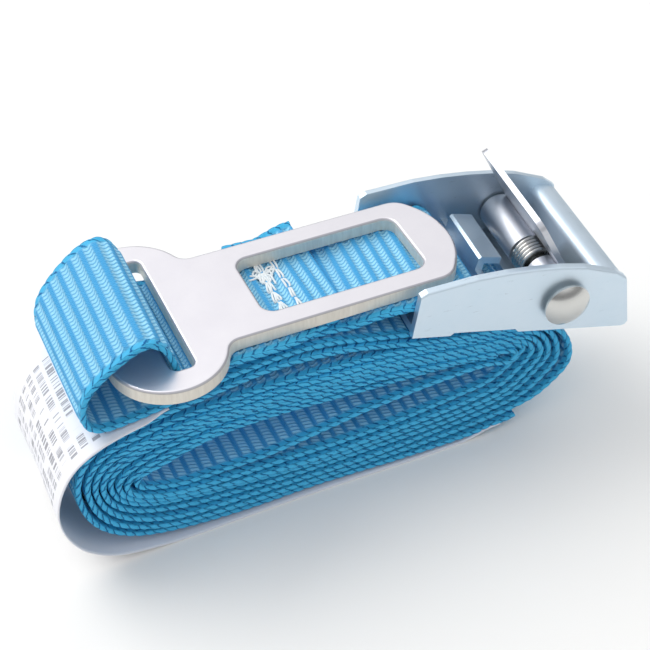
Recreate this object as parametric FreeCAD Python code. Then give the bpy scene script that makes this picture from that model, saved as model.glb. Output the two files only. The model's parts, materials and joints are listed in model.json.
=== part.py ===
"""Cam-buckle tie-down for 25 mm webbing, packed as sold: the long strap rolled flat, the short sewn strap
with its cam buckle and end plate lying on top, and a label wrapped round the left end of the roll.

Working frame in millimetres: +X along the roll, +Y across the webbing (away from the near side), +Z up,
z = 0 the surface it lies on. At the end every piece is moved so that the origin is the middle of the
bottom of the whole object's box.
"""

import FreeCAD
import Part
import math
import os

from FreeCAD import Vector, Rotation, Placement

# ---- driving dimensions -------------------------------------------------------------------------------
WEB_WIDTH = 25.0            # webbing of both straps
WEB_THICK = 1.05            # thickness of one layer
ROLL_THICK = 0.8            # the same webbing pressed flat in the roll
ROLL_STEPS = 4              # path points for each point of the roll's curves
LABEL_THICK = 0.2
LABEL_NEAR_Y = -13.6
LABEL_FAR_Y = 12.6

PLATE_THICK = 2.4
PLATE_BOTTOM = 34.3         # height of the end plate's lower face
PLATE_Y = 1.3               # middle line of the end plate and of the short strap
SLOT_X = -25.7              # middle of the slot that the webbing goes through
SLOT_WIDTH = 3.8
SLOT_LENGTH = 26.8
HEAD_X = -26.7              # middle of the wide end round the slot
HEAD_WIDTH = 19.0
HEAD_LENGTH = 36.0
BODY_HALF = 10.7            # half width of the narrow part
BODY_RIGHT = 25.7           # tip of the rounded end
TIP_RADIUS = 14.5
WINDOW = (-9.8, 18.6, 6.9)  # left end, right end, half width
EDGE_ROUND = 0.5
NECK_ROUND = 2.5            # where the wide end meets the narrow part
SLOT_ROUND = 1.2
WINDOW_ROUND = 2.2
TIP_CORNER_ROUND = 4.0

SEAMS = {"inner": -11.4, "middle": -5.9, "outer": -3.1}     # stitch rows, along the short strap
STITCHES = 9                # in each row
STITCH_SIZE = (0.55, 0.4)   # width and height of one stitch
STITCH_BOTTOM = 33.63
SEAM_MARGIN = 1.5           # from the webbing's edge to a row's end

BUCKLE_WIDTH = 28.6         # outside the two cheeks
SHEET = 1.3                 # pressed steel sheet of the buckle
BUCKLE_AT = Vector(0.5, 0, 28.95)
BUCKLE_PITCH = 13.0         # the rear of the buckle hangs down
BUCKLE_YAW = -4.45
BUCKLE_PIVOT = Vector(13.0, 1.3, 0)
AXLE_AT = (26.4, 6.1)       # cam axle in the cheek's own x, z
AXLE_RADIUS = 2.0
RUNNING_GAP = 0.05          # radial, cam on axle
HEAD_RADIUS = 4.0           # the rivet's large head
HEAD_RIM = 0.4              # its straight rim under the dome
HEAD_OFF = 0.9              # it stands off the cheek on a shoulder
CAM_RADIUS = 3.45
CAM_OFFSET = 0.7            # the cam's roll is off the axle by this much
CAM_NOSE_ANGLE = -60.0      # towards which the roll is offset
LEVER_ANGLE = 130.1         # direction of the lever, from +x towards +z
LEVER_LENGTH = 14.9         # from the axle to the lever's tip
LEVER_OFFSET = 2.4          # the lever's inner face from the axle
LEVER_THICK = 1.0
LEVER_EDGES = (3.0, 26.4)   # across the buckle
SPRING_Y = (9.2, 14.0)      # the coil spring lies between these along the axle
SPRING_RADIUS = 3.1
SPRING_WIRE = 0.75
CAM_TEETH = 6
TOOTH_STEP = 20             # degrees from one tooth of the cam to the next
FAR_HEAD = (3.4, 1.2)       # radius and height of the rivet's closed head
NEAR_DOME = 1.4             # height of the large head's dome
SHOULDER_RADIUS = 2.9
SIDE_PLAY = 0.4             # cam to cheek, along the axle

# Centre line of the rolled strap. Its innermost turn runs point by point; the turns round it blend from the
# inner closed curve to the middle one, and the last turn follows the outer one. The closed curves start at
# their right end and run over the top.
ROLL_CORE = [(29.4, 17.8), (22.1, 18.8), (16.6, 19.2), (5.5, 20.0), (-8.0, 20.7), (-19.3, 20.7),
             (-25.4, 19.7), (-30.4, 18.0), (-34.2, 16.6), (-35.1, 15.1), (-34.2, 13.7), (-31.0, 12.4),
             (-26.9, 11.5), (-17.6, 11.8), (-13.1, 12.0), (-8.1, 12.7), (-0.2, 14.0), (4.6, 14.9),
             (9.6, 15.6), (14.0, 16.3), (21.1, 17.0), (27.1, 17.1), (31.4, 16.0), (32.8, 17.1),
             (32.6, 18.0), (31.7, 18.4)]
ROLL_INNER = [(32.7, 18.7), (31.4, 18.7), (30.0, 18.7), (21.1, 19.8), (9.0, 21.4), (0.0, 21.5),
              (-9.9, 21.5), (-19.5, 21.6), (-27.6, 19.9), (-34.1, 17.3), (-36.2, 15.0), (-34.4, 12.8),
              (-28.8, 11.2), (-19.9, 11.0), (-9.3, 10.6), (0.8, 10.4), (10.7, 11.1), (20.9, 12.2),
              (26.9, 13.3), (31.1, 16.5)]
ROLL_MIDDLE = [(43.4, 12.3), (41.5, 18.8), (35.6, 22.7), (23.7, 24.4), (12.8, 26.2), (0.9, 27.1),
               (-11.4, 27.5), (-23.2, 26.9), (-33.0, 25.8), (-40.1, 23.9), (-43.4, 18.6), (-42.5, 11.7),
               (-38.7, 6.6), (-30.9, 3.2), (-18.6, 2.7), (-2.0, 2.4), (14.2, 2.5), (25.8, 3.0),
               (36.2, 4.6), (41.3, 8.6)]
ROLL_OUTER = [(44.5, 13.0), (41.8, 19.0), (35.2, 22.9), (24.0, 24.6), (13.0, 26.6), (1.0, 29.1),
              (-12.0, 30.1), (-24.0, 28.5), (-34.0, 26.8), (-41.0, 24.9), (-44.4, 19.0), (-43.6, 11.5),
              (-39.5, 5.6), (-32.0, 2.3), (-18.0, 1.2), (-2.0, 1.2), (14.0, 1.2), (28.0, 1.3),
              (37.0, 3.3), (42.6, 7.6)]
ROLL_FIRST = 2.0            # where the wound turns start, counted in points of the inner curve
ROLL_END = 137.6            # the outer cut end, counted in the same way
TURNS_TO_MIDDLE = 5.9
TURNS_TO_OUTER = 0.2

BAR_AT = (-32.2, PLATE_BOTTOM + PLATE_THICK / 2)   # the end plate's outer bar, held by the webbing


# ---- helpers ------------------------------------------------------------------------------------------
def closed_curve(points, u):
    """Point at u along a smooth closed curve through the points (u counts points)."""
    n = len(points)
    i = int(math.floor(u))
    s = u - i
    p0, p1, p2, p3 = (points[(i + k) % n] for k in (-1, 0, 1, 2))
    return tuple(0.5 * (2 * b + (c - a) * s + (2 * a - 5 * b + 4 * c - d) * s ** 2
                        + (3 * b - a - 3 * c + d) * s ** 3)
                 for a, b, c, d in zip(p0, p1, p2, p3))


def through(points, per_span=4):
    """Evenly divided smooth open curve through the points."""
    ends = [points[0]] + list(points) + [points[-1]]
    out = []
    for i in range(len(points) - 1):
        span = ends[i:i + 4]
        out += [closed_curve(span, 1 + k / per_span) for k in range(per_span)]
    return out + [points[-1]]


def arc_points(centre, radius, start, stop, count):
    """Points on an arc in the x-z plane, angles in degrees from +x towards +z."""
    angles = [math.radians(start + (stop - start) * k / (count - 1)) for k in range(count)]
    return [(centre[0] + radius * math.cos(a), centre[1] + radius * math.sin(a)) for a in angles]


def chain(points):
    """Edges through the points: an arc through each three, or a line where they are straight."""
    edges = []
    last = len(points) - 1
    i = 0
    while i < last:
        if i + 2 > last:
            edges.append(Part.makeLine(points[i], points[i + 1]))
            i += 1
            continue
        a, b, c = points[i:i + 3]
        bend = (b - a).cross(c - b).Length / ((b - a).Length * (c - b).Length)
        if bend < 1e-4:
            edges.append(Part.makeLine(a, c))
        else:
            edges.append(Part.Arc(a, b, c).toShape())
        i += 2
    return edges


def ribbon(path, thick, y_low, y_high):
    """A strip of even thickness along a path in the x-z plane, from y_low to y_high."""
    sides = ([], [])
    for i, (x, z) in enumerate(path):
        ax, az = path[max(i - 1, 0)]
        bx, bz = path[min(i + 1, len(path) - 1)]
        length = math.hypot(bx - ax, bz - az)
        nx, nz = -(bz - az) / length, (bx - ax) / length
        for side, sign in zip(sides, (1, -1)):
            side.append(Vector(x + sign * nx * thick / 2, y_low, z + sign * nz * thick / 2))
    left, right = sides
    right.reverse()
    edges = chain(left) + [Part.makeLine(left[-1], right[0])] + chain(right)
    edges.append(Part.makeLine(right[-1], left[0]))
    face = Part.Face(Part.Wire(edges))
    return face.extrude(Vector(0, y_high - y_low, 0))


def path_length(path):
    return sum(math.dist(a, b) for a, b in zip(path, path[1:]))


def prism(outline, y_low, y_high):
    """Straight-edged outline in the x-z plane, pushed from y_low to y_high."""
    corners = [Vector(x, y_low, z) for x, z in outline]
    return Part.Face(Part.makePolygon(corners + corners[:1])).extrude(Vector(0, y_high - y_low, 0))


def rod(radius, y_low, y_high, at):
    """Round bar along Y at the point (x, z)."""
    return Part.makeCylinder(radius, y_high - y_low, Vector(at[0], y_low, at[1]), Vector(0, 1, 0))


def rounded(shape, edges, radius):
    """Round the edges, or leave them sharp if the geometry refuses."""
    try:
        result = shape.makeFillet(radius, edges)
        return result if result.isValid() and result.Solids else shape
    except Part.OCCError:
        return shape


# ---- straps and label ---------------------------------------------------------------------------------
def blend(a, b, share):
    return tuple(p + (q - p) * share for p, q in zip(a, b))


def roll_path():
    count = round((ROLL_END - ROLL_FIRST) * ROLL_STEPS)
    wound = []
    for k in range(count + 1):
        u = ROLL_FIRST + k / ROLL_STEPS
        turns = u / len(ROLL_INNER)
        inner, middle, outer = (closed_curve(curve, u) for curve in (ROLL_INNER, ROLL_MIDDLE, ROLL_OUTER))
        outermost = min(max((turns - TURNS_TO_MIDDLE) / TURNS_TO_OUTER, 0), 1)
        wound.append(blend(blend(inner, middle, min(turns / TURNS_TO_MIDDLE, 1)), outer, outermost))
    core = through(ROLL_CORE + [wound[0], wound[ROLL_STEPS]], ROLL_STEPS)
    return core[:-ROLL_STEPS - 1] + wound


def long_strap():
    """The long strap, rolled flat on itself."""
    path = roll_path()
    print("long strap", round(path_length(path)), "mm")
    return ribbon(path, ROLL_THICK, -WEB_WIDTH / 2, WEB_WIDTH / 2)


def plate_half_path():
    """Short strap from its sewn upper end, through the slot, round the bar and back along the roll."""
    sewn = through([(3.6, 33.4), (-6.0, 33.4), (-16.0, 33.4), (-21.5, 33.1)])
    loop = [(-24.0, 32.7), (-25.6, 33.3), (-26.4, 35.0), (-27.0, 37.5), (-28.1, 40.2), (-30.2, 41.9),
            (-32.6, 41.5), (-35.4, 39.9), (-38.3, 37.8), (-40.6, 35.4), (-41.6, 32.6), (-41.5, 30.2),
            (-40.4, 28.5), (-38.3, 27.9)]
    back = [(-35.0, 28.15), (-31.0, 28.7), (-26.0, 29.6), (-19.0, 30.75), (-9.0, 31.35), (0.0, 30.6),
            (6.0, 29.4)]
    return sewn[:-1] + through([sewn[-1]] + loop + back)


def strap_half_plate():
    path = plate_half_path()
    print("plate half", round(path_length(path)), "mm")
    half = WEB_WIDTH / 2
    return ribbon(path, WEB_THICK, PLATE_Y - half, PLATE_Y + half)


def in_buckle(x, z):
    """A point of the buckle's own x-z plane in the frame it is pitched in."""
    spot = Rotation(Vector(0, 1, 0), BUCKLE_PITCH).multVec(Vector(x, 0, z)) + BUCKLE_AT
    return (spot.x, spot.z)


def buckle_half_path():
    """Short strap from under the roll's top, round the buckle's front bar and back to the seam."""
    pivot = BUCKLE_PIVOT.x
    fold = [in_buckle(x, z) for x, z in arc_points((9.5, 2.93), 3.74, -90, 80, 13)]
    under = [(6.0 - pivot, 29.4), in_buckle(-1.5, -0.95), in_buckle(4.0, -0.92)]
    over = [in_buckle(4.0, 5.75), (2.0, 33.5), (8.5 - pivot, 33.3), (4.0 - pivot, 32.45),
            (0.0 - pivot, 32.25), (-10.0 - pivot, 32.25)]
    return through(under + [fold[0]])[:-1] + fold + through([fold[-1]] + over)[1:]


def strap_half_buckle():
    path = buckle_half_path()
    print("buckle half", round(path_length(path)), "mm")
    shape = ribbon(path, WEB_THICK, -WEB_WIDTH / 2, WEB_WIDTH / 2)
    return yawed(shape)


def yawed(shape):
    """Turn a piece with the buckle about the upright line that the buckle is turned on."""
    shape.Placement = Placement(BUCKLE_PIVOT, Rotation(Vector(0, 0, 1), BUCKLE_YAW)) * shape.Placement
    return shape


def label():
    """Label: a thin sheet under the short strap's loop, round the roll's left end and below the roll."""
    path = through([(-28.5, 28.42), (-31.5, 27.9), (-34.5, 27.42), (-40.5, 26.0), (-44.8, 23.4),
                    (-47.3, 19.0), (-48.2, 14.0), (-47.2, 9.0), (-44.4, 4.6), (-39.6, 1.6), (-32.0, 0.3),
                    (-24.0, 0.1), (0.0, 0.1), (32.5, 0.1)])
    print("label", round(path_length(path)), "mm")
    return ribbon(path, LABEL_THICK, LABEL_NEAR_Y, LABEL_FAR_Y)


def seam(x):
    """One row of lock stitches across the sewn layers."""
    pitch = (WEB_WIDTH - 2 * SEAM_MARGIN) / STITCHES
    first = PLATE_Y - WEB_WIDTH / 2 + SEAM_MARGIN
    width, height = STITCH_SIZE
    stitches = [Part.makeBox(width, pitch * 0.72, height, Vector(x, first + k * pitch, STITCH_BOTTOM))
                for k in range(STITCHES)]
    return Part.makeCompound(stitches)


# ---- end plate ----------------------------------------------------------------------------------------
def end_plate():
    low = PLATE_BOTTOM
    high = low + PLATE_THICK
    radius = HEAD_WIDTH / 2
    reach = HEAD_LENGTH / 2 - radius
    head = Part.makeBox(HEAD_WIDTH, 2 * reach, PLATE_THICK, Vector(HEAD_X - radius, PLATE_Y - reach, low))
    for sign in (-1, 1):
        head = head.fuse(Part.makeCylinder(radius, PLATE_THICK, Vector(HEAD_X, PLATE_Y + sign * reach, low)))
    body = Part.makeBox(BODY_RIGHT - SLOT_X, 2 * BODY_HALF, PLATE_THICK,
                        Vector(SLOT_X, PLATE_Y - BODY_HALF, low))
    tip = Part.makeCylinder(TIP_RADIUS, PLATE_THICK, Vector(BODY_RIGHT - TIP_RADIUS, PLATE_Y, low))
    left_part = Part.makeBox(BODY_RIGHT - TIP_RADIUS - SLOT_X, 2 * BODY_HALF, PLATE_THICK,
                             Vector(SLOT_X, PLATE_Y - BODY_HALF, low))
    body = body.common(tip.fuse(left_part)).removeSplitter()
    plate = head.fuse(body).removeSplitter()

    slot = Part.makeBox(SLOT_WIDTH, SLOT_LENGTH, PLATE_THICK,
                        Vector(SLOT_X - SLOT_WIDTH / 2, PLATE_Y - SLOT_LENGTH / 2, low))
    slot = rounded(slot, upright_edges(slot), SLOT_ROUND)
    left, right, half = WINDOW
    window = Part.makeBox(right - left, 2 * half, PLATE_THICK, Vector(left, PLATE_Y - half, low))
    window = rounded(window, upright_edges(window), WINDOW_ROUND)
    neck = [e for e in upright_edges(plate) if abs(e.Vertexes[0].X - (HEAD_X + radius)) < 3
            and abs(abs(e.Vertexes[0].Y - PLATE_Y) - BODY_HALF) < 0.1]
    plate = rounded(plate, neck, NECK_ROUND)
    corner = [e for e in upright_edges(plate) if e.Vertexes[0].X > 18]
    plate = rounded(plate, corner, TIP_CORNER_ROUND)
    plate = plate.cut(slot).cut(window)
    top = [e for e in plate.Edges if all(abs(v.Z - high) < 1e-6 for v in e.Vertexes)]
    plate = rounded(plate, top, EDGE_ROUND)
    return plate


def upright_edges(shape):
    return [e for e in shape.Edges if len(e.Vertexes) == 2
            and abs(e.Vertexes[0].X - e.Vertexes[1].X) < 1e-6
            and abs(e.Vertexes[0].Y - e.Vertexes[1].Y) < 1e-6]


# ---- buckle, drawn in its own frame: x to the rear, y across, z up from the cheeks' lower edge ----------
CHEEK = [(0.0, 0.0), (6.9, 0.0), (7.5, 0.6), (18.9, 0.6), (19.6, 0.0), (39.9, -0.1), (40.6, 0.2), (40.9, 0.9),
         (37.1, 10.3), (34.8, 11.5), (28.4, 12.8), (23.8, 13.0), (19.0, 12.8), (14.0, 12.3), (8.7, 11.4),
         (0.4, 9.1), (-0.6, 8.3)]
TONGUE = (12.3, 24.8)       # the middle bar is bent over to the rear between these


def across(outline):
    """A piece of the sheet that joins the two cheeks."""
    return prism(outline, SHEET / 2, BUCKLE_WIDTH - SHEET / 2)


def bent(points):
    """Bent strip of sheet joining the cheeks, along a path in the x-z plane."""
    return ribbon(points, SHEET, SHEET / 2, BUCKLE_WIDTH - SHEET / 2)


def buckle_frame():
    """One pressed sheet: two cheeks, the front bar, the raised middle bar, the floor and the rear ramp."""
    half = SHEET / 2
    near = prism(CHEEK, 0, SHEET)
    far = prism(CHEEK, BUCKLE_WIDTH - SHEET, BUCKLE_WIDTH)
    near = rounded(near, long_top_edges(near, 0), 0.45)
    far = rounded(far, long_top_edges(far, BUCKLE_WIDTH), 0.45)
    front_bar = across([(0.3, 0), (6.9, 0), (6.9, SHEET), (0.3, SHEET)])
    wall = across([(16.1, 0), (17.4, 0), (17.4, 3.6), (16.1, 3.6)])
    tongue = prism([(16.1, 3.2), (17.4, 3.2), (17.4, 5.0), (20.4, 4.8), (20.4, 6.1), (16.5, 6.35),
                    (16.1, 5.9)], *TONGUE)
    floor_path = [(23.6, half), (27.0, half), (29.4, 0.9), (31.2, 2.3), (32.3, 4.6), (32.8, 6.6),
                  (33.1, 8.6), (33.5, 9.5), (34.2, 9.75), (35.4, 9.75), (36.7, 9.5)]
    floor = bent(floor_path)
    hole = rod(AXLE_RADIUS + RUNNING_GAP, -1, BUCKLE_WIDTH + 1, AXLE_AT)
    frame = near.fuse([far, front_bar, wall, tongue, floor]).removeSplitter()
    return frame.cut(hole)


def long_top_edges(cheek, y):
    """Upper outer edges of a cheek, which the press rolls over."""
    return [e for e in cheek.Edges if all(abs(v.Y - y) < 1e-6 and v.Z > 8 for v in e.Vertexes)]


def lever_point(along, out):
    """A point from the axle, along the lever and out from it, in the buckle's x, z."""
    a = math.radians(LEVER_ANGLE)
    return (AXLE_AT[0] + along * math.cos(a) + out * math.sin(a),
            AXLE_AT[1] + along * math.sin(a) - out * math.cos(a))


def lever_box(along, out, y):
    corners = [lever_point(u, v) for u, v in ((along[0], out[0]), (along[1], out[0]),
                                              (along[1], out[1]), (along[0], out[1]))]
    return prism(corners, y[0], y[1])


def cam_roll(y_low, y_high):
    """The toothed roll that bites the webbing: a round bar, off the axle, with ridges on its nose."""
    nose = math.radians(CAM_NOSE_ANGLE)
    centre = (AXLE_AT[0] + CAM_OFFSET * math.cos(nose), AXLE_AT[1] + CAM_OFFSET * math.sin(nose))
    roll = rod(CAM_RADIUS - 0.15, y_low, y_high, centre)
    first = CAM_NOSE_ANGLE - TOOTH_STEP * (CAM_TEETH - 1) / 2
    for k in range(CAM_TEETH):
        angle = math.radians(first + k * TOOTH_STEP)
        half_width = math.radians(7)
        foot_a, top, foot_b = ((centre[0] + r * math.cos(angle + d), centre[1] + r * math.sin(angle + d))
                               for r, d in ((CAM_RADIUS - 0.5, -half_width), (CAM_RADIUS + 0.1, 0),
                                            (CAM_RADIUS - 0.5, half_width)))
        roll = roll.fuse(prism([foot_a, top, foot_b], y_low, y_high))
    return roll


def cam_lever():
    """Thumb lever and toothed cam in one, with a plain sleeve and a gap for the spring beside the cam."""
    plate = lever_box((-1.0, LEVER_LENGTH), (LEVER_OFFSET, LEVER_OFFSET + LEVER_THICK), LEVER_EDGES)
    tip = [e for e in plate.Edges if abs(e.Length - LEVER_THICK) < 1e-6
           and all(math.dist((v.X, v.Z), AXLE_AT) > LEVER_LENGTH - 1 for v in e.Vertexes)]
    plate = rounded(plate, tip, 2.0)
    spring_low, spring_high = SPRING_Y[0] - 0.6, SPRING_Y[1] + 0.6
    roll = cam_roll(spring_high, BUCKLE_WIDTH - SHEET - SIDE_PLAY)
    sleeve = rod(2.95, SHEET + SIDE_PLAY, spring_low, AXLE_AT)
    lever = plate.fuse([roll, sleeve]).removeSplitter()
    room = rod(SPRING_RADIUS + SPRING_WIRE / 2 + 0.35, spring_low, spring_high, AXLE_AT)
    bore = rod(AXLE_RADIUS + RUNNING_GAP, 0, BUCKLE_WIDTH, AXLE_AT)
    return lever.cut(room).cut(bore)


def axle_rivet():
    """Rivet that the cam turns on: a domed head on the near side, a flatter closed head on the far side."""
    shank = rod(AXLE_RADIUS, -HEAD_OFF, BUCKLE_WIDTH + 0.1, AXLE_AT)
    rim = rod(HEAD_RADIUS, -HEAD_OFF - HEAD_RIM - 0.01, -HEAD_OFF, AXLE_AT)
    shoulder = rod(SHOULDER_RADIUS, -HEAD_OFF - 0.01, -0.02, AXLE_AT)
    near = head_dome(-HEAD_OFF - HEAD_RIM, -1, HEAD_RADIUS, NEAR_DOME)
    far = head_dome(BUCKLE_WIDTH + 0.08, 1, *FAR_HEAD)
    return shank.fuse([rim, shoulder, near, far]).removeSplitter()


def head_dome(y, sign, radius, height):
    """Domed head standing out from y, cut from a ball."""
    ball = (radius ** 2 + height ** 2) / (2 * height)
    centre = Vector(AXLE_AT[0], y + sign * (height - ball), AXLE_AT[1])
    dome = Part.makeSphere(ball, centre)
    low, high = sorted((y, y + sign * height))
    return dome.common(rod(radius + 1, low, high + 0.01 * (sign > 0), AXLE_AT))


def torsion_spring():
    """Coil spring round the axle."""
    y_low, y_high = SPRING_Y[0] + 0.4, SPRING_Y[1] - 0.4
    pitch = SPRING_WIRE + 0.04
    height = y_high - y_low
    helix = Part.makeHelix(pitch, height, SPRING_RADIUS)
    start = Vector(SPRING_RADIUS, 0, 0)
    ring = Part.Wire(Part.makeCircle(SPRING_WIRE / 2, start, Vector(0, 1, pitch / (2 * math.pi * 3))))
    coil = Part.Wire(helix).makePipeShell([ring], True, True)
    coil.Placement = Placement(Vector(AXLE_AT[0], y_low, AXLE_AT[1]), Rotation(Vector(1, 0, 0), -90))
    return coil


def placed(shape):
    """Put a piece of the buckle where the buckle lies on the roll."""
    own = Placement(Vector(0, -BUCKLE_WIDTH / 2, 0), Rotation())
    pitched = Placement(BUCKLE_AT, Rotation(Vector(0, 1, 0), BUCKLE_PITCH))
    shape.Placement = pitched * own * shape.Placement
    return yawed(shape)


# ---- assembly -----------------------------------------------------------------------------------------
def pieces():
    return {
        "long_strap_roll": long_strap(),
        "short_strap_plate_half": strap_half_plate(),
        "short_strap_buckle_half": strap_half_buckle(),
        "label": label(),
        "seam_thread_inner": seam(SEAMS["inner"]),
        "seam_thread_middle": seam(SEAMS["middle"]),
        "seam_thread_outer": seam(SEAMS["outer"]),
        "end_plate": end_plate(),
        "buckle_frame": placed(buckle_frame()),
        "cam_lever": placed(cam_lever()),
        "axle_rivet": placed(axle_rivet()),
        "cam_spring": placed(torsion_spring()),
    }


def main():
    os.makedirs("parts", exist_ok=True)
    made = pieces()
    box = FreeCAD.BoundBox()
    for shape in made.values():
        box.add(shape.optimalBoundingBox())
    shift = Vector(-(box.XMin + box.XMax) / 2, -(box.YMin + box.YMax) / 2, -box.ZMin)
    print("shift", shift, "size", box.XLength, box.YLength, box.ZLength)
    for name, shape in made.items():
        shape.Placement = Placement(shift, Rotation()) * shape.Placement
        kind = "valid" if shape.isValid() else "NOT VALID"
        print(name, len(shape.Solids), "solids", round(shape.Volume, 1), "mm3", kind)
        shape.exportStep(os.path.join("parts", name + ".step"))
    spot = placed(Part.Vertex(Vector(0, 0, 0)))
    print("buckle corner", spot.Point + shift)
    spot = placed(Part.Vertex(Vector(AXLE_AT[0], BUCKLE_WIDTH / 2, AXLE_AT[1])))
    print("axle middle", spot.Point + shift)
    print("bar", Vector(BAR_AT[0], PLATE_Y, BAR_AT[1]) + shift)


main()
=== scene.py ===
"""Looks of the cam-buckle tie-down: woven straps, label, seam threads, zinc plate and buckle, floor, light.

The straps, the label and the threads are drawn in millimetres, in the drawing coordinates of the part's
source, and moved to the row frame by SHIFT.
"""
import json
import math
import bpy
import numpy as np
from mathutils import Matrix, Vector


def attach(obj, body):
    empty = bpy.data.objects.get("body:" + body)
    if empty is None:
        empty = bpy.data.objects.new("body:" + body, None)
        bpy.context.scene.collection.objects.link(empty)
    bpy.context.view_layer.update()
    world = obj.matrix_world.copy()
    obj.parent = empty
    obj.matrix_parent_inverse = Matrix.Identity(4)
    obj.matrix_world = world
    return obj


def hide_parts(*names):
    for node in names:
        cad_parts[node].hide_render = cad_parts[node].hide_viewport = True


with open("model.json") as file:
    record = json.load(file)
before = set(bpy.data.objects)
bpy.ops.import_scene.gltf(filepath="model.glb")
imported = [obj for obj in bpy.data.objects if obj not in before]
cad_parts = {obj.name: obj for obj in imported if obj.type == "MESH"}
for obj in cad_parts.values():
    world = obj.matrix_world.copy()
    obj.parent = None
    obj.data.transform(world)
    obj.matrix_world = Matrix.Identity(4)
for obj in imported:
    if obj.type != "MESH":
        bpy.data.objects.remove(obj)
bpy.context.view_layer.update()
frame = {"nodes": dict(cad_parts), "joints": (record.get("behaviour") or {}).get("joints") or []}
BAR_AT = (-32.2, 1.3, 35.5)     # drawing coordinates of the end plate's outer bar, where its joint is
swing = next(joint for joint in frame["joints"] if joint["name"] == "end_plate_swing")
SHIFT = np.array(swing["pos_m"]) * 1000 - BAR_AT     # drawing coordinates to the row frame, mm

WEB_WIDTH = 25.0
WEB_THICK = 1.0             # one layer of the short strap
ROLL_THICK = 0.96           # one layer of the rolled strap
RIB = 2.25                  # pitch of the ribs across the webbing
RIB_HEIGHT = 0.3
GROUND_DEPTH = 0.2          # the ground between the ribs lies this far under the nominal face
EDGE_INSET = 0.28           # from the webbing's edge to where its flat face starts
FLOAT_PITCH = 0.78          # pitch of the slanted floats on a rib
BRAID = 1.9                 # pitch of the braided edge
PLATE_Y = 1.3               # middle line of the end plate and of the short strap
PIVOT_X = 13.0              # upright line that the buckle is yawed on, at PLATE_Y
BUCKLE_AT = (13.5, 28.95)   # x, z of the buckle's lower front corner before it is yawed
YAW = math.radians(-4.45)
PITCH = math.radians(13.0)

AZIMUTH = math.radians(-24.23)      # where the camera stands, seen from its target
ELEVATION = math.radians(42.29)
DISTANCE = 0.2637                   # metres
FIELD_OF_VIEW = math.radians(24.29)
TARGET = (6.6, 8.3, 16.4)


def linked(name, data):
    """A new object in the scene."""
    obj = bpy.data.objects.new(name, data)
    bpy.context.scene.collection.objects.link(obj)
    return obj


# ---- camera -------------------------------------------------------------------------------------------
def add_camera():
    level = math.cos(ELEVATION)
    back = Vector((math.sin(AZIMUTH) * level, -math.cos(AZIMUTH) * level, math.sin(ELEVATION)))
    target = Vector((np.array(TARGET) + SHIFT) / 1000)
    data = bpy.data.cameras.new("camera")
    data.angle = FIELD_OF_VIEW
    data.clip_start = 0.01
    cam = linked("camera", data)
    cam.location = target + back * DISTANCE
    cam.rotation_euler = (-back).to_track_quat("-Z", "Y").to_euler()
    bpy.context.scene.camera = cam


add_camera()


# ---- curves -------------------------------------------------------------------------------------------
def span(p0, p1, p2, p3, s):
    """Point at s, 0 to 1, on the smooth curve from p1 to p2."""
    return 0.5 * (2 * p1 + (p2 - p0) * s + (2 * p0 - 5 * p1 + 4 * p2 - p3) * s ** 2
                  + (3 * p1 - p0 - 3 * p2 + p3) * s ** 3)


def on_loop(points, u):
    """Point at u along a smooth closed curve (u counts points)."""
    n = len(points)
    i = int(math.floor(u))
    return span(*(points[(i + k) % n] for k in (-1, 0, 1, 2)), u - i)


def through(points, per_span=8):
    """Smooth open curve through the points."""
    p = [np.array(q, float) for q in points]
    p = [p[0]] + p + [p[-1]]
    out = [span(*p[i:i + 4], k / per_span) for i in range(len(p) - 3) for k in range(per_span)]
    return out + [p[-1]]


def arc(centre, radius, start, stop, count):
    """Points on an arc in the x-z plane, angles in degrees from +x towards +z."""
    angles = np.radians(np.linspace(start, stop, count))
    return [np.array([centre[0] + radius * math.cos(a), centre[1] + radius * math.sin(a)]) for a in angles]


def even(path, step):
    """The path divided evenly: positions, distance along it, and unit normals."""
    path = np.array(path)
    along = np.r_[0, np.cumsum(np.linalg.norm(np.diff(path, axis=0), axis=1))]
    keep = np.r_[True, np.diff(along) > 1e-6]
    path, along = path[keep], along[keep]
    count = int(along[-1] / step) + 1
    s = np.linspace(0, along[-1], count)
    pos = np.stack([np.interp(s, along, path[:, k]) for k in (0, 1)], 1)
    for _ in range(2):
        pos[1:-1] = 0.25 * pos[:-2] + 0.5 * pos[1:-1] + 0.25 * pos[2:]
    tangent = np.gradient(pos, axis=0)
    tangent /= np.linalg.norm(tangent, axis=1)[:, None]
    return pos, s, np.stack([-tangent[:, 1], tangent[:, 0]], 1)


# ---- webbing ------------------------------------------------------------------------------------------
def smooth(x):
    x = np.clip(x, 0, 1)
    return x * x * (3 - 2 * x)


def weave_height(u, v, fine):
    """Height of the face above the strap's ground, in mm: ribs across, and floats between them."""
    f = (u / RIB) % 1
    ridge = smooth((0.42 - np.abs(f - 0.5)) / 0.2)
    inner = smooth((np.minimum(v, WEB_WIDTH - v) - 1.0) / 0.6)
    height = RIB_HEIGHT * ridge * inner
    if fine:
        cord = np.abs(np.sin(math.pi * (v / FLOAT_PITCH + 0.9 * f)))
        height = height + (0.02 + 0.1 * ridge) * inner * cord ** 0.7
    braid = np.abs(np.sin(math.pi * (u / BRAID + v / 1.3)))
    return height + (1 - inner) * (0.14 + 0.08 * braid)


def braided_edge(s, angle, half):
    """How far the edge's braid stands out, and its height over the strap's middle, at an angle round it."""
    loop = np.abs(np.sin(math.pi * (s / BRAID + angle * 0.35))) ** 0.5
    return (0.16 + 0.34 * loop) * math.cos(angle), half * math.sin(angle) * (0.86 + 0.2 * loop)


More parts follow.
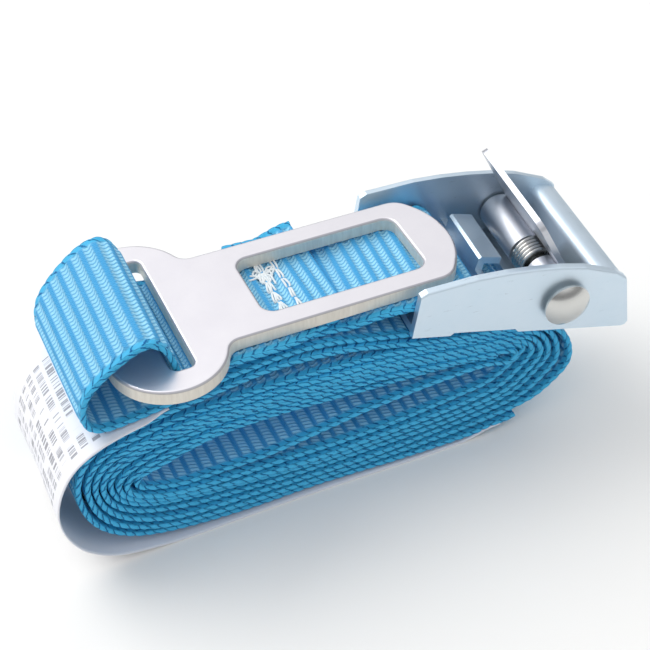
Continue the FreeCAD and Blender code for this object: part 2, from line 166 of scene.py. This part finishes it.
def columns(fine_to, fine, coarse):
    """Places across the webbing: close together near its edges, wider apart between."""
    near = np.arange(EDGE_INSET, fine_to, fine)
    mid = np.linspace(fine_to, WEB_WIDTH - fine_to, int((WEB_WIDTH - 2 * fine_to) / coarse) + 1)
    return np.r_[near, mid, (WEB_WIDTH - near)[::-1]]


def webbing(name, path, step, v, fine, thick, y_mid, sway=None, turn=None, lift=None):
    """A woven strap along a path in the x-z plane, as one closed mesh with its weave in the shape."""
    pos, s, nrm = even(path, step)
    half = np.full(len(s), thick) / 2
    shift = np.zeros(len(s)) if sway is None else sway(s, pos)
    turned = np.zeros(len(s)) if turn is None else turn(s)
    side = np.radians([62, 36, 12, -12, -36, -62])      # places round the edge, from the upper face down
    rings = []
    data = []

    def ring(off, y, vv, e):
        """One line along the strap: its height off the centre line, its place across, and its weave data."""
        x = pos[:, 0] + nrm[:, 0] * off
        z = pos[:, 1] + nrm[:, 1] * off + (0 if lift is None else lift(s, vv))
        yy = y_mid + shift - WEB_WIDTH / 2 + y
        a = YAW * turned
        dx, dy = x - PIVOT_X, yy - PLATE_Y
        rings.append(np.stack([PIVOT_X + dx * np.cos(a) - dy * np.sin(a),
                               PLATE_Y + dx * np.sin(a) + dy * np.cos(a), z], 1))
        data.append(np.stack([s, np.full(len(s), vv), np.full(len(s), e)], 1))

    for vv in v:
        ring(half - GROUND_DEPTH + weave_height(s, vv, fine), vv, vv, 0.0)
    for k, angle in enumerate(side):
        out, high = braided_edge(s, angle, half)
        ring(high, WEB_WIDTH - EDGE_INSET + out, WEB_WIDTH, 0.5 + k / 12)
    for vv in v[::-1]:
        ring(-half + GROUND_DEPTH - weave_height(s + RIB / 2, vv, fine), vv, vv, 0.0)
    for k, angle in enumerate(-side):
        out, high = braided_edge(s, angle, half)
        ring(high, EDGE_INSET - out, 0.0, 0.5 + k / 12)
    return closed_tube(name, np.stack(rings, 1), np.stack(data, 1))


def closed_tube(name, grid, info):
    """Mesh from rings of points (along, round, xyz) with flat ends; info goes to the "web" attribute."""
    n, m, _ = grid.shape
    index = np.arange(n * m).reshape(n, m)
    nxt = np.roll(index, -1, axis=1)
    quads = np.stack([index[:-1], nxt[:-1], nxt[1:], index[1:]], 2).reshape(-1, 4)
    mesh = bpy.data.meshes.new(name)
    verts = (grid.reshape(-1, 3) + SHIFT) / 1000
    caps = np.r_[index[0][::-1], index[-1]]
    mesh.vertices.add(n * m)
    mesh.vertices.foreach_set("co", verts.ravel())
    mesh.loops.add(quads.size + caps.size)
    mesh.loops.foreach_set("vertex_index", np.r_[quads.ravel(), caps])
    mesh.polygons.add(len(quads) + 2)
    starts = np.r_[np.arange(len(quads)) * 4, quads.size, quads.size + m]
    mesh.polygons.foreach_set("loop_start", starts)
    mesh.update(calc_edges=True)
    mesh.validate()
    flags = np.ones(len(mesh.polygons), bool)
    flags[-2:] = False
    mesh.polygons.foreach_set("use_smooth", flags)
    web = mesh.attributes.new("web", "FLOAT_VECTOR", "POINT")
    web.data.foreach_set("vector", info.reshape(-1, 3).ravel())
    return linked(name, mesh)


# Long strap: the innermost turn point by point, then closed curves that the turns blend between.
CORE = [(29.4, 17.8), (22.1, 18.8), (16.6, 19.2), (5.5, 20.0), (-8.0, 20.7), (-19.3, 20.7), (-25.4, 19.7),
        (-30.4, 18.0), (-34.2, 16.6), (-35.1, 15.1), (-34.2, 13.7), (-31.0, 12.4), (-26.9, 11.5),
        (-17.6, 11.8), (-13.1, 12.0), (-8.1, 12.7), (-0.2, 14.0), (4.6, 14.9), (9.6, 15.6), (14.0, 16.3),
        (21.1, 17.0), (27.1, 17.1), (31.4, 16.0), (32.8, 17.1), (32.6, 18.0), (31.7, 18.4)]
INNER = [(32.7, 18.7), (31.4, 18.7), (30.0, 18.7), (21.1, 19.8), (9.0, 21.4), (0.0, 21.5), (-9.9, 21.5),
         (-19.5, 21.6), (-27.6, 19.9), (-34.1, 17.3), (-36.2, 15.0), (-34.4, 12.8), (-28.8, 11.2),
         (-19.9, 11.0), (-9.3, 10.6), (0.8, 10.4), (10.7, 11.1), (20.9, 12.2), (26.9, 13.3), (31.1, 16.5)]
MIDDLE = [(43.4, 12.3), (41.5, 18.8), (35.6, 22.7), (23.7, 24.4), (12.8, 26.2), (0.9, 27.1), (-11.4, 27.5),
          (-23.2, 26.9), (-33.0, 25.8), (-40.1, 23.9), (-43.4, 18.6), (-42.5, 11.7), (-38.7, 6.6),
          (-30.9, 3.2), (-18.6, 2.7), (-2.0, 2.4), (14.2, 2.5), (25.8, 3.0), (36.2, 4.6), (41.3, 8.6)]
OUTER = [(44.5, 13.0), (41.8, 19.0), (35.2, 22.9), (24.0, 24.6), (13.0, 26.6), (1.0, 29.1), (-12.0, 30.1),
         (-24.0, 28.5), (-34.0, 26.8), (-41.0, 24.9), (-44.4, 19.0), (-43.6, 11.5), (-39.5, 5.6),
         (-32.0, 2.3), (-18.0, 1.2), (-2.0, 1.2), (14.0, 1.2), (28.0, 1.3), (37.0, 3.3), (42.6, 7.6)]
ROLL_FIRST = 2.0            # where the wound turns start, counted in points of the inner curve
ROLL_END = 137.6            # the outer cut end, counted in the same way
ROLL_STEPS = 8              # path points for each of those
TURNS_TO_MIDDLE = 5.9
TURNS_TO_OUTER = 0.2


def roll_path():
    """Centre line of the roll: the innermost turn, then turns that blend from curve to curve."""
    count = int((ROLL_END - ROLL_FIRST) * ROLL_STEPS)
    wound = []
    inner, middle, outer = (np.array(c, float) for c in (INNER, MIDDLE, OUTER))
    for k in range(count + 1):
        u = ROLL_FIRST + (ROLL_END - ROLL_FIRST) * k / count
        turns = u / len(INNER)
        a, b, c = (on_loop(curve, u) for curve in (inner, middle, outer))
        share = min(turns / TURNS_TO_MIDDLE, 1)
        last = min(max((turns - TURNS_TO_MIDDLE) / TURNS_TO_OUTER, 0), 1)
        wound.append(a + (b - a) * share if last == 0 else b + (c - b) * last)
    core = through(CORE + [tuple(wound[0]), tuple(wound[ROLL_STEPS])], ROLL_STEPS)
    return core[:-ROLL_STEPS - 1] + wound


def roll_sway(s, pos):
    """Each turn lies a little to one side of the next; the top turns lie back from the near edge."""
    lean = 0.28 * np.sin(s / 37.0) + 0.2 * np.sin(s / 13.7 + 1.0) + 0.12 * np.sin(s / 5.3)
    return lean + 0.5 * smooth((pos[:, 1] - 24) / 5)


long_strap = webbing("long_strap", roll_path(), 0.28, columns(2.3, 0.3, 0.8), False, ROLL_THICK, 0.0,
                     sway=roll_sway)


# ---- short strap --------------------------------------------------------------------------------------
def in_buckle(x, z):
    """A point of the buckle's own plane, in the frame before it is yawed."""
    return np.array([BUCKLE_AT[0] + x * math.cos(PITCH) + z * math.sin(PITCH),
                     BUCKLE_AT[1] - x * math.sin(PITCH) + z * math.cos(PITCH)])


def short_path():
    """Centre line: sewn upper end, loop through the slot, back along the roll, fold in the buckle, seam."""
    sewn = through([(3.6, 33.45), (-6.0, 33.4), (-16.0, 33.4), (-21.5, 33.15)])
    run = through([sewn[-1], (-24.0, 32.75), (-25.6, 33.3), (-26.4, 35.0), (-27.0, 37.5), (-28.1, 40.2),
                   (-30.2, 41.9), (-32.6, 41.5), (-35.4, 39.9), (-38.3, 37.8), (-40.6, 35.4), (-41.6, 32.6),
                   (-41.5, 30.2), (-40.4, 28.5), (-38.3, 27.9), (-35.0, 28.15), (-31.0, 28.7), (-26.0, 29.6),
                   (-19.0, 30.75), (-9.0, 31.35), (0.0, 30.6), (6.0, 29.4), in_buckle(-1.5, -0.95),
                   in_buckle(4.0, -0.92)])
    fold = [in_buckle(*p) for p in arc((9.5, 2.93), 3.74, -90, 80, 17)]
    over = through([fold[-1], in_buckle(4.0, 5.75), (15.0, 33.5), (8.5, 33.3), (4.0, 32.45), (0.0, 32.25),
                    (-10.0, 32.25)])
    return sewn + run[1:] + fold[:-1] + over


def short_turn(s):
    """Share of the buckle's yaw: none up to the sewn part, all of it where the strap is in the buckle."""
    return smooth((s - 84) / 24)


def short_sway(s, pos):
    """The sewn upper end lies skewed to the far side, and the run over the fold lies off a little too."""
    return 3.0 * smooth((16 - s) / 16) ** 2 + 0.5 * smooth((s - 153) / 6) + 0.12 * np.sin(s / 6.0)


def short_lift(s, v):
    """The far edge curls up beside the end plate, and the loop stands higher at its far side."""
    curl = smooth((v - 23.2) / 1.6) * (0.9 * smooth((s - 150) / 5) + 0.5 * smooth((14 - s) / 8))
    loop = 2.0 * v / WEB_WIDTH * smooth((s - 31) / 8) * smooth((56 - s) / 14)
    return curl + loop


short_strap = webbing("short_strap", short_path(), 0.17, columns(1.9, 0.27, 0.2), True, WEB_THICK, PLATE_Y,
                      sway=short_sway, turn=short_turn, lift=short_lift)


# ---- label --------------------------------------------------------------------------------------------
LABEL_WIDTH = 26.1
LABEL_HALF = 0.11           # half its thickness
MARK_ROW = 2.15             # pitch of the rows of printed marks
MARKS_ACROSS = (2.0, 23.6)  # where they start and end across the label
MARKS_ALONG = (8.0, 36.0)   # and along it, from its upper end
LABEL_PATH = [(-28.5, 28.42), (-31.5, 27.9), (-34.5, 27.42), (-40.5, 26.0), (-44.8, 23.4), (-47.3, 19.0),
              (-48.2, 14.0), (-47.2, 9.0), (-44.4, 4.6), (-39.6, 1.6), (-32.0, 0.35), (-24.0, 0.16),
              (0.0, 0.14), (20.0, 0.14), (27.0, 0.16), (32.5, 0.2)]


def label():
    """Thin cloth from under the short strap's loop, round the roll's left end and below the roll."""
    pos, s, nrm = even(through(LABEL_PATH), 0.5)
    across = np.linspace(0, 1, 54)
    near = -11.5 - 1.1 * smooth(s / 5) - 1.1 * smooth((s - 4) / 16)
    near = near + 0.2 * np.sin(s / 9.0) + 0.5 * smooth((s - 55) / 40)
    rings = []
    data = []
    for sign in (1, -1):
        for t in (across if sign > 0 else across[::-1]):
            wave = 0.16 * np.sin(s / 6.0 + 5 * t) * smooth(s / 14) * smooth((68 - s) / 14)
            curl = 1.3 * smooth((s - 106) / 9) * smooth((0.4 - t) / 0.4)
            y = near + (LABEL_WIDTH + 0.12 * np.sin(s / 7.0)) * t
            off = sign * LABEL_HALF + wave
            x = pos[:, 0] + nrm[:, 0] * off - 1.2 * curl * (1 - t)
            z = np.maximum(pos[:, 1] + nrm[:, 1] * off + curl, 0.03 + 0.2 * (sign > 0))
            rings.append(np.stack([x, y, z], 1))
            data.append(np.stack([s, np.full(len(s), t * LABEL_WIDTH), np.full(len(s), float(sign))], 1))
    return closed_tube("label_cloth", np.stack(rings, 1), np.stack(data, 1))


label_cloth = label()


# ---- threads ------------------------------------------------------------------------------------------
STITCH_TOP = 34.12
STITCH_MARGIN = 2.3         # from the webbing's edge to a row's end
THREAD_SIDES = 7


def tube(name, runs, radius):
    """Round threads through the runs of points (mm, drawing coordinates), as one mesh."""
    verts = []
    faces = []
    around = THREAD_SIDES
    for run in runs:
        p = np.array(through(run, 5))
        tangent = np.gradient(p, axis=0)
        tangent /= np.linalg.norm(tangent, axis=1)[:, None] + 1e-9
        up = np.array([0.13, 0.21, 0.97])
        a = np.cross(tangent, up)
        a /= np.linalg.norm(a, axis=1)[:, None] + 1e-9
        b = np.cross(tangent, a)
        first = len(verts)
        for i in range(len(p)):
            taper = 0.35 if i in (0, len(p) - 1) else 1.0
            for k in range(around):
                ang = 2 * math.pi * k / around
                verts.append(p[i] + radius * taper * (a[i] * math.cos(ang) + b[i] * math.sin(ang)))
        for i in range(len(p) - 1):
            for k in range(around):
                q = first + i * around
                faces.append((q + k, q + (k + 1) % around, q + around + (k + 1) % around, q + around + k))
        faces.append(tuple(first + k for k in range(around))[::-1])
        faces.append(tuple(first + (len(p) - 1) * around + k for k in range(around)))
    mesh = bpy.data.meshes.new(name)
    mesh.from_pydata([tuple((v + SHIFT) / 1000) for v in verts], [], faces)
    mesh.update()
    mesh.polygons.foreach_set("use_smooth", np.ones(len(mesh.polygons), bool))
    return linked(name, mesh)


rng = np.random.default_rng(7)


def stitch_row(x, strands, count=8, messy=0.0):
    """A row of stitches of several strands across the strap."""
    runs = []
    low, high = STITCH_TOP - 0.35, STITCH_TOP + 0.04
    first = PLATE_Y - WEB_WIDTH / 2 + STITCH_MARGIN
    pitch = (WEB_WIDTH - 2 * STITCH_MARGIN) / count
    for strand in strands:
        for k in range(count):
            y = first + k * pitch
            j = rng.normal(0, 0.07 + messy, 4)
            runs.append([(x + strand + j[0], y, low),
                         (x + strand * 1.4 + j[1], y + pitch * 0.2, high),
                         (x + strand * 0.8 + j[2], y + pitch * 0.75, high),
                         (x + strand * 0.5 + j[3], y + pitch * 1.02, low)])
    return runs


def tangle(x, y, count, reach):
    """Loose thread ends lying on the seam."""
    runs = []
    for _ in range(count):
        a = rng.uniform(0, 2 * math.pi)
        p = np.array([x, y, STITCH_TOP]) + np.r_[rng.normal(0, 0.35, 2), 0]
        run = [tuple(p)]
        for _ in range(5):
            a += rng.normal(0, 0.9)
            p = p + np.array([math.cos(a), math.sin(a), 0]) * reach / 5
            p[2] = STITCH_TOP - 0.02 + abs(rng.normal(0, 0.05))
            run.append(tuple(p))
        runs.append(run)
    return runs


threads = {
    "seam_thread_outer": tube("stitches_outer", stitch_row(-3.0, (-0.17, 0.17), messy=0.02), 0.2),
    "seam_thread_middle": tube("stitches_middle", stitch_row(-5.8, (-0.45, -0.15, 0.15, 0.45), messy=0.1)
                               + tangle(-5.4, 5.6, 14, 3.2), 0.19),
    "seam_thread_inner": tube("stitches_inner", stitch_row(-11.3, (-0.2, 0.2)), 0.18),
}


# ---- materials ----------------------------------------------------------------------------------------
class Nodes:
    """A material's node tree with short calls for the nodes used here."""

    def __init__(self, name):
        self.mat = bpy.data.materials.new(name)
        self.mat.use_nodes = True
        self.tree = self.mat.node_tree
        self.shader = self.tree.nodes["Principled BSDF"]

    def put(self, socket, value):
        if isinstance(value, bpy.types.NodeSocket):
            self.tree.links.new(value, socket)
        else:
            socket.default_value = value

    def set(self, **values):
        for key, value in values.items():
            self.put(self.shader.inputs[key.replace("_", " ")], value)

    def math(self, op, a, b=0.0, clamp=False):
        node = self.tree.nodes.new("ShaderNodeMath")
        node.operation = op
        node.use_clamp = clamp
        for socket, value in zip(node.inputs, (a, b)):
            self.put(socket, value)
        return node.outputs[0]

    def attribute(self, name):
        node = self.tree.nodes.new("ShaderNodeAttribute")
        node.attribute_name = name
        split = self.tree.nodes.new("ShaderNodeSeparateXYZ")
        self.tree.links.new(node.outputs["Vector"], split.inputs[0])
        return node.outputs["Vector"], split.outputs

    def point(self, x, y):
        node = self.tree.nodes.new("ShaderNodeCombineXYZ")
        self.put(node.inputs[0], x)
        self.put(node.inputs[1], y)
        return node.outputs[0]

    def coords(self, scale):
        """Object coordinates times a scale."""
        tex = self.tree.nodes.new("ShaderNodeTexCoord")
        mapping = self.tree.nodes.new("ShaderNodeMapping")
        mapping.inputs["Scale"].default_value = scale
        self.tree.links.new(tex.outputs["Object"], mapping.inputs["Vector"])
        return mapping.outputs[0]

    def noise(self, vector, scale, detail=3.0, rough=0.55):
        node = self.tree.nodes.new("ShaderNodeTexNoise")
        self.put(node.inputs["Vector"], vector)
        node.inputs["Scale"].default_value = scale
        node.inputs["Detail"].default_value = detail
        node.inputs["Roughness"].default_value = rough
        return node.outputs[0]

    def mix(self, factor, a, b):
        node = self.tree.nodes.new("ShaderNodeMix")
        node.data_type = "RGBA"
        for place, value in ((0, factor), (6, a), (7, b)):
            self.put(node.inputs[place], value)
        return node.outputs[2]

    def range(self, value, low, high, to_low, to_high):
        node = self.tree.nodes.new("ShaderNodeMapRange")
        node.interpolation_type = "SMOOTHSTEP"
        for socket, v in zip(node.inputs, (value, low, high, to_low, to_high)):
            self.put(socket, v)
        return node.outputs[0]

    def bump(self, height, strength, distance):
        node = self.tree.nodes.new("ShaderNodeBump")
        node.inputs["Strength"].default_value = strength
        node.inputs["Distance"].default_value = distance
        self.put(node.inputs["Height"], height)
        return node.outputs[0]


def rgb(r, g, b):
    """A colour seen on a screen, 0 to 255, as the shader's linear colour."""
    return tuple(((c / 255 + 0.055) / 1.055) ** 2.4 for c in (r, g, b)) + (1.0,)


def webbing_material():
    """Blue polyester, with light and shade painted from the weave's relief: slanted floats on the ribs
    painted bright as highlights, the twill between painted dark as shade, and the braided edge painted in a
    darker shade with its slits darkest as shade in the crevices.
    """
    n = Nodes("woven_webbing")
    vector, (u, v, e) = n.attribute("web")

    def wave(value):
        return n.math("ABSOLUTE", n.math("SINE", n.math("MULTIPLY", value, math.pi)))

    f = n.math("FRACT", n.math("DIVIDE", u, RIB))
    ridge = n.range(n.math("ABSOLUTE", n.math("SUBTRACT", f, 0.5)), 0.4, 0.22, 0.0, 1.0)
    cord = n.range(wave(n.math("ADD", n.math("DIVIDE", v, FLOAT_PITCH), n.math("MULTIPLY", f, 0.9))),
                   0.15, 0.8, 0.0, 1.0)
    twill = wave(n.math("ADD", n.math("DIVIDE", v, FLOAT_PITCH / 2), n.math("MULTIPLY", f, -1.6)))
    edge_v = n.math("MINIMUM", v, n.math("SUBTRACT", WEB_WIDTH, v))
    inner = n.range(edge_v, 0.9, 1.6, 0.0, 1.0)
    slant = n.math("ADD", n.math("DIVIDE", u, BRAID), n.math("MULTIPLY", e, 1.9))
    slant = n.math("ADD", slant, n.math("MULTIPLY", n.noise(vector, 0.9, 2.0), 0.9))
    # slits: the gaps between the braid's loops; through tone they are painted dark as shade in the crevices,
    # and they also shape the bump and the roughness
    slits = n.range(wave(n.math("ADD", slant, n.math("MULTIPLY", edge_v, 0.5))), 0.06, 0.42, 0.0, 1.0)
    fibre = n.noise(vector, 7.0, 4.0, 0.75)
    patch = n.noise(vector, 0.25, 2.0)
    weave = n.math("ADD", n.math("MULTIPLY", ridge, n.math("ADD", 0.4, n.math("MULTIPLY", cord, 0.6))),
                   n.math("MULTIPLY", n.math("SUBTRACT", 1.0, ridge), n.math("MULTIPLY", twill, 0.22)))
    height = n.math("ADD", n.math("MULTIPLY", weave, inner),
                    n.math("MULTIPLY", n.math("SUBTRACT", 1.0, inner), n.math("MULTIPLY", slits, 0.75)))
    # tone: the weave's relief used as painted light and shade, brightest on the raised floats and darkest in
    # the ground and in the braid's slits; the fibre noise in it is the yarn's own uneven tone
    tone = n.math("ADD", height, n.math("MULTIPLY", n.math("SUBTRACT", fibre, 0.5), 0.45), clamp=True)
    # The ground's colour is painted shade and the floats' colour is a painted highlight; the patch noise
    # between two of each is the dye's own unevenness.
    ground_in_painted_shade = n.mix(patch, (0.01, 0.3, 0.66, 1), (0.02, 0.34, 0.72, 1))
    floats_in_painted_highlight = n.mix(patch, (0.3, 0.7, 0.95, 1), (0.38, 0.76, 0.97, 1))
    face = n.mix(tone, ground_in_painted_shade, floats_in_painted_highlight)
    # The braided edge has its own darker colours: painted shade on the strap's sides.
    edge = n.mix(tone, (0.003, 0.14, 0.4, 1), (0.07, 0.58, 0.93, 1))
    colour = n.mix(inner, edge, face)
    rough = n.math("SUBTRACT", 0.6, n.math("MULTIPLY", height, 0.22))
    detail = n.math("ADD", height, n.math("MULTIPLY", fibre, 0.35))
    n.set(Base_Color=colour, Roughness=rough, Normal=n.bump(detail, 1.0, 0.0002))
    n.shader.inputs["Specular IOR Level"].default_value = 0.3
    return n.mat


def label_material():
    """White cloth, with rows of plain upright marks on its outside that spell nothing."""
    n = Nodes("label_cloth")
    s, v, side = n.attribute("web")[1]
    row = n.math("DIVIDE", s, MARK_ROW)
    line = n.range(n.math("ABSOLUTE", n.math("SUBTRACT", n.math("FRACT", row), 0.5)), 0.34, 0.29, 0.0, 1.0)
    number = n.math("FLOOR", row)
    words = n.point(n.math("MULTIPLY", number, 7.31), n.math("MULTIPLY", v, 0.34))
    dash = n.range(n.noise(words, 1.0, 2.0, 0.8), 0.43, 0.46, 0.0, 1.0)
    low, high = MARKS_ACROSS
    inside = n.math("MULTIPLY", n.range(v, low, low + 0.3, 0.0, 1.0), n.range(v, high, high + 0.3, 1.0, 0.0))
    low, high = MARKS_ALONG
    where = n.math("MULTIPLY", n.range(s, low, low + 0.5, 0.0, 1.0), n.range(s, high, high + 0.5, 1.0, 0.0))
    outside = n.range(side, -0.2, 0.2, 1.0, 0.0)
    marks = n.point(n.math("MULTIPLY", number, 5.7), n.math("MULTIPLY", v, 3.3))
    strokes = n.range(n.noise(marks, 1.0, 1.0, 0.5), 0.47, 0.53, 0.0, 1.0)
    ink = n.math("MULTIPLY", n.math("MULTIPLY", line, dash), n.math("MULTIPLY", inside, where))
    ink = n.math("MULTIPLY", n.math("MULTIPLY", ink, strokes), outside)
    cloud = n.noise(n.coords((1, 1, 1)), 60.0, 3.0)
    white = n.mix(cloud, rgb(232, 234, 242), rgb(246, 246, 250))
    inner = n.mix(cloud, rgb(214, 220, 232), rgb(228, 232, 240))
    paper = n.mix(outside, inner, white)
    colour = n.mix(n.math("MULTIPLY", ink, 0.75), paper, rgb(110, 112, 122))
    warp = n.math("SINE", n.math("MULTIPLY", s, 22.0))
    fine = n.math("MULTIPLY", warp, n.math("SINE", n.math("MULTIPLY", v, 22.0)))
    height = n.math("ADD", n.math("MULTIPLY", fine, 0.3), n.noise(n.coords((1, 1, 1)), 900.0, 3.0))
    n.set(Base_Color=colour, Roughness=0.55, Normal=n.bump(height, 0.25, 0.00004))
    return n.mat


def thread_material():
    """Twisted white polyester."""
    n = Nodes("seam_thread")
    spot = n.coords((1, 1, 1))
    tone = n.noise(spot, 1500.0, 3.0)
    colour = n.mix(tone, rgb(196, 214, 224), rgb(250, 250, 248))
    n.set(Base_Color=colour, Roughness=0.5, Normal=n.bump(tone, 0.6, 0.00005))
    return n.mat


def plate_material():
    """Satin zinc on the faces, a creamier, rougher punched edge, and painted shade: a darker grey band on
    the rounded rims between them.
    """
    n = Nodes("plate_zinc")
    tex = n.tree.nodes.new("ShaderNodeTexCoord")
    split = n.tree.nodes.new("ShaderNodeSeparateXYZ")
    n.tree.links.new(tex.outputs["Normal"], split.inputs[0])
    upright = n.math("ABSOLUTE", split.outputs[2])
    edge = n.range(upright, 0.75, 0.35, 0.0, 1.0)
    grain = n.noise(n.coords((1, 1, 1)), 1400.0, 4.0, 0.7)
    cloud = n.noise(n.coords((1, 1, 1)), 140.0, 4.0, 0.6)
    streak = n.noise(n.coords((1, 1, 0.12)), 1500.0, 3.0, 0.7)
    face = n.mix(cloud, rgb(234, 232, 238), rgb(246, 244, 248))
    side = n.mix(streak, rgb(205, 199, 188), rgb(244, 240, 230))
    # The rounded rims between face and edge: painted a darker grey as shade, and made rougher.
    painted_shade_rim = n.math("MULTIPLY", n.range(upright, 0.98, 0.85, 0.0, 1.0), n.range(upright, 0.2, 0.5, 0.0, 1.0))
    colour = n.mix(n.math("MULTIPLY", painted_shade_rim, 0.6), n.mix(edge, face, side), rgb(140, 142, 152))
    rougher = n.math("MULTIPLY", n.math("ADD", edge, painted_shade_rim), 0.12)
    rough = n.math("ADD", rougher, n.math("ADD", 0.3, n.math("MULTIPLY", grain, 0.12)))
    flat = n.math("SUBTRACT", 1.0, edge)
    height = n.math("ADD", n.math("MULTIPLY", flat, n.math("MULTIPLY", grain, 0.25)),
                    n.math("MULTIPLY", edge, streak))
    metal = n.math("SUBTRACT", 0.92, n.math("MULTIPLY", edge, 0.5))
    n.set(Base_Color=colour, Metallic=metal, Roughness=rough, Normal=n.bump(height, 0.5, 0.00005))
    return n.mat


def zinc_material(name, low, high, rough, scratch=0.3):
    """Bright zinc plating with fine scratches and cloudy patches."""
    n = Nodes(name)
    cloud = n.noise(n.coords((1, 1, 1)), 130.0, 4.0, 0.65)
    grain = n.noise(n.coords((1, 1, 1)), 2600.0, 3.0, 0.7)
    lines = n.noise(n.coords((0.25, 1, 1.6)), 900.0, 5.0, 0.8)
    marks = n.range(lines, 0.62, 0.7, 0.0, 1.0)
    colour = n.mix(cloud, low, high)
    colour = n.mix(n.math("MULTIPLY", marks, 0.35), colour, rgb(150, 160, 170))
    r = n.math("ADD", rough, n.math("MULTIPLY", n.math("SUBTRACT", cloud, 0.4), 0.22))
    r = n.math("ADD", r, n.math("MULTIPLY", marks, 0.15), clamp=True)
    height = n.math("ADD", n.math("MULTIPLY", lines, scratch), n.math("MULTIPLY", grain, 0.12))
    n.set(Base_Color=colour, Metallic=0.95, Roughness=r, Normal=n.bump(height, 0.35, 0.00005))
    return n.mat


web_mat = webbing_material()
for piece in (long_strap, short_strap):
    piece.data.materials.append(web_mat)
label_cloth.data.materials.append(label_material())
thread_mat = thread_material()
for piece in threads.values():
    piece.data.materials.append(thread_mat)
metals = {
    "end_plate": plate_material(),
    # The buckle's pale zinc is its own plating colour; the blue tint in it is a painted reflection of the
    # blue straps.
    "buckle_frame": zinc_material("buckle_zinc", rgb(206, 226, 240), rgb(226, 238, 248), 0.42),
    "cam_lever": zinc_material("cam_zinc", rgb(186, 190, 200), rgb(214, 216, 220), 0.36),
    "axle_rivet": zinc_material("rivet_steel", rgb(196, 197, 196), rgb(220, 221, 218), 0.12, 0.15),
    "cam_spring": zinc_material("spring_steel", rgb(170, 172, 172), rgb(212, 210, 206), 0.14, 0.1),
}
for node, mat in metals.items():
    obj = frame["nodes"][node]
    obj.data.materials.clear()
    obj.data.materials.append(mat)


# ---- bodies -------------------------------------------------------------------------------------------
def strap_piece(obj, *nodes):
    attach(obj, "strap_bundle")
    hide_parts(*nodes)


strap_piece(long_strap, "long_strap_roll")
strap_piece(short_strap, "short_strap_plate_half", "short_strap_buckle_half")
strap_piece(label_cloth, "label")
for node, obj in threads.items():
    strap_piece(obj, node)


# ---- floor, light -------------------------------------------------------------------------------------
FLOOR_SIDE = 3.0                    # metres
KEY_AT = (-0.42, 0.5, 0.7)          # the lamp stands behind the object, to the left
KEY_SIZE = 0.75
KEY_POWER = 5.4                     # watts
SKY_STOPS = ((0.0, 0.6), (0.12, 0.3), (0.3, 0.4), (0.45, 0.95), (1.0, 1.0))     # upward share, brightness
SKY_STRENGTH = 0.93


def floor():
    mesh = bpy.data.meshes.new("floor")
    half = FLOOR_SIDE / 2
    corners = [(-half, -half, 0), (half, -half, 0), (half, half, 0), (-half, half, 0)]
    mesh.from_pydata(corners, [], [(0, 1, 2, 3)])
    n = Nodes("floor_white")
    n.set(Base_Color=rgb(243, 243, 241), Roughness=0.7)
    n.shader.inputs["Specular IOR Level"].default_value = 0.2
    mesh.materials.append(n.mat)
    linked("floor", mesh)


def area(name, at, size, power, colour):
    """A square lamp that faces the object."""
    data = bpy.data.lights.new(name, "AREA")
    data.size = size
    data.energy = power
    data.color = colour
    obj = linked(name, data)
    obj.location = at
    obj.rotation_euler = (-Vector(at)).to_track_quat("-Z", "Y").to_euler()


def sky():
    """Pale light from above, and a darker band low all round, which the metal mirrors."""
    world = bpy.data.worlds.new("studio")
    bpy.context.scene.world = world
    world.use_nodes = True
    tree = world.node_tree
    back = tree.nodes["Background"]
    tex = tree.nodes.new("ShaderNodeTexCoord")
    split = tree.nodes.new("ShaderNodeSeparateXYZ")
    tree.links.new(tex.outputs["Generated"], split.inputs[0])
    ramp = tree.nodes.new("ShaderNodeValToRGB")
    tree.links.new(split.outputs[2], ramp.inputs[0])
    elements = ramp.color_ramp.elements
    while len(elements) < len(SKY_STOPS):
        elements.new(0.5)
    for element, (place, value) in zip(elements, SKY_STOPS):
        element.position = place
        element.color = (value * 0.985, value * 0.985, value, 1)
    tree.links.new(ramp.outputs[0], back.inputs[0])
    back.inputs[1].default_value = SKY_STRENGTH


floor()
sky()
area("key", KEY_AT, KEY_SIZE, KEY_POWER, (1, 0.99, 0.98))
bpy.context.scene.view_settings.view_transform = "Standard"
